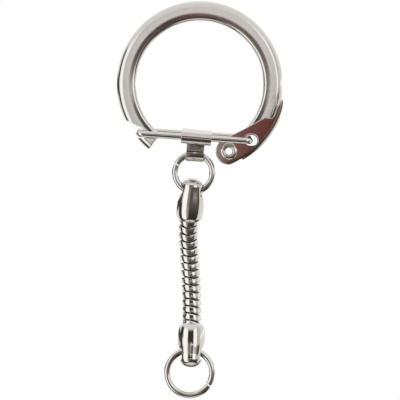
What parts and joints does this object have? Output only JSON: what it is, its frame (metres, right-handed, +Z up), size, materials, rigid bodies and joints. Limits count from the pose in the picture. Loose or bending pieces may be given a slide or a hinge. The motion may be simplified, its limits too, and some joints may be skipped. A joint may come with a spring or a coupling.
{
  "type": "lever-latch key ring with snake chain",
  "caption": "Open metal ring shut by a snap lever and wire bail, carrying a hanger, jump rings, bell caps and a flexible snake chain that ends in a pendant ring.",
  "frame": {"origin": "centre of the main ring, on its axis", "axes": "+Z up along the hanging chain's length, the ring lies in the XZ plane, +Y to its back, +X towards the lever"},
  "size_m": [0.03, 0.0081, 0.0718],
  "materials": {
    "ring_plate": "polished nickel plate on flattened tube, fine wear",
    "lever_plate": "polished nickel plate on folded sheet",
    "eyelet_plate": "polished nickel plate, rolled edge",
    "wire": "polished nickel plate on round wire",
    "hanger_plate": "polished nickel plate on thin folded sheet",
    "cap_plate": "polished nickel plate on drawn sheet",
    "chain_plate": "polished nickel plate on stamped links"
  },
  "bodies": {
    "main_ring": {"ring": "ring_plate", "eyelet": "eyelet_plate"},
    "lever": {"lever": "lever_plate"},
    "bail": {"bail": "wire"},
    "hanger": {"hanger": "hanger_plate"},
    "upper_ring": {"upper_jump_ring": "wire"},
    "upper_cap": {"upper_cap": "cap_plate", "snake_link_01": "chain_plate"},
    "link_02": {"snake_link_02": "chain_plate"},
    "link_03": {"snake_link_03": "chain_plate"},
    "link_04": {"snake_link_04": "chain_plate"},
    "link_05": {"snake_link_05": "chain_plate"},
    "link_06": {"snake_link_06": "chain_plate"},
    "link_07": {"snake_link_07": "chain_plate"},
    "link_08": {"snake_link_08": "chain_plate"},
    "link_09": {"snake_link_09": "chain_plate"},
    "link_10": {"snake_link_10": "chain_plate"},
    "link_11": {"snake_link_11": "chain_plate"},
    "link_12": {"snake_link_12": "chain_plate"},
    "link_13": {"snake_link_13": "chain_plate"},
    "link_14": {"snake_link_14": "chain_plate"},
    "lower_cap": {"snake_link_15": "chain_plate", "lower_cap": "cap_plate"},
    "lower_ring": {"lower_jump_ring": "wire"}
  },
  "joints": [
    {"name": "lever_pivot", "type": "hinge", "parent": "main_ring", "child": "lever", "pos_m": [0.00524, 0, -0.01217], "axis": [0, 1, 0], "range_deg": [0, 105]},
    {"name": "bail_pivot", "type": "hinge", "parent": "lever", "child": "bail", "pos_m": [0.00899, 0, -0.01], "axis": [0, 1, 0], "range_deg": [-84.7, 0]},
    {"name": "hanger_slide", "type": "slide", "parent": "bail", "child": "hanger", "axis": [0.9978, 0, -0.0663], "range_m": [-0.0028, 0]},
    {"name": "jump_ring_swing", "type": "hinge", "parent": "hanger", "child": "upper_ring", "pos_m": [-0.0011, 0, -0.01263], "axis": [1, 0, 0], "range_deg": [-90, 90]},
    {"name": "cap_swing", "type": "hinge", "parent": "upper_ring", "child": "upper_cap", "pos_m": [-0.0011, 0, -0.016], "axis": [0, 1, 0], "range_deg": [-60, 60]},
    {"name": "snake_02_side", "type": "hinge", "parent": "upper_cap", "child": "link_02", "pos_m": [-0.00205, 0.00143, -0.02553], "axis": [0.0136, 0.9779, 0.2087], "range_deg": [-2.05, 9.95]},
    {"name": "snake_03_fore", "type": "hinge", "parent": "link_02", "child": "link_03", "pos_m": [-0.00209, 0.0017, -0.02687], "axis": [1, 0, 0.0039], "range_deg": [-3.65, 7.35]},
    {"name": "snake_04_side", "type": "hinge", "parent": "link_03", "child": "link_04", "pos_m": [-0.00204, 0.00192, -0.02821], "axis": [-0.0075, 0.9893, 0.1455], "range_deg": [-4.5, 7.5]},
    {"name": "snake_05_fore", "type": "hinge", "parent": "link_04", "child": "link_05", "pos_m": [-0.00195, 0.00209, -0.02956], "axis": [0.9979, 0, 0.0642], "range_deg": [-3.65, 7.35]},
    {"name": "snake_06_side", "type": "hinge", "parent": "link_05", "child": "link_06", "pos_m": [-0.00187, 0.00223, -0.03092], "axis": [-0.0051, 0.9967, 0.0813], "range_deg": [-6.11, 5.89]},
    {"name": "snake_07_fore", "type": "hinge", "parent": "link_06", "child": "link_07", "pos_m": [-0.00178, 0.00232, -0.03228], "axis": [0.9982, 0, 0.0603], "range_deg": [-3.65, 7.35]},
    {"name": "snake_08_side", "type": "hinge", "parent": "link_07", "child": "link_08", "pos_m": [-0.0017, 0.00236, -0.03364], "axis": [-0.001, 0.9999, 0.017], "range_deg": [-6.26, 5.74]},
    {"name": "snake_09_fore", "type": "hinge", "parent": "link_08", "child": "link_09", "pos_m": [-0.00163, 0.00236, -0.035], "axis": [0.9987, 0, 0.0513], "range_deg": [-3.65, 7.35]},
    {"name": "snake_10_side", "type": "hinge", "parent": "link_09", "child": "link_10", "pos_m": [-0.00156, 0.00232, -0.03637], "axis": [0.0021, 0.9989, -0.0475], "range_deg": [-6.41, 5.59]},
    {"name": "snake_11_fore", "type": "hinge", "parent": "link_10", "child": "link_11", "pos_m": [-0.00151, 0.00223, -0.03773], "axis": [0.9993, 0, 0.0371], "range_deg": [-3.65, 7.35]},
    {"name": "snake_12_side", "type": "hinge", "parent": "link_11", "child": "link_12", "pos_m": [-0.00146, 0.0021, -0.03909], "axis": [0.0031, 0.9937, -0.1119], "range_deg": [-6.55, 5.45]},
    {"name": "snake_13_fore", "type": "hinge", "parent": "link_12", "child": "link_13", "pos_m": [-0.00143, 0.00193, -0.04044], "axis": [0.9998, 0, 0.0178], "range_deg": [-3.65, 7.35]},
    {"name": "snake_14_side", "type": "hinge", "parent": "link_13", "child": "link_14", "pos_m": [-0.00141, 0.00171, -0.04179], "axis": [0.0011, 0.9844, -0.1758], "range_deg": [-6.7, 5.3]},
    {"name": "snake_15_fore", "type": "hinge", "parent": "link_14", "child": "lower_cap", "pos_m": [-0.00141, 0.00145, -0.04313], "axis": [0.9998, 0, -0.0175], "range_deg": [-3.65, 7.35]},
    {"name": "pendant_ring_swing", "type": "hinge", "parent": "lower_cap", "child": "lower_ring", "pos_m": [-0.00159, 0.0003, -0.04812], "axis": [1, 0, 0], "range_deg": [-62, 37]}
  ],
  "couplings": [
    {"joint": "bail_pivot", "follows": "lever_pivot", "ratio": -0.805}
  ]
}
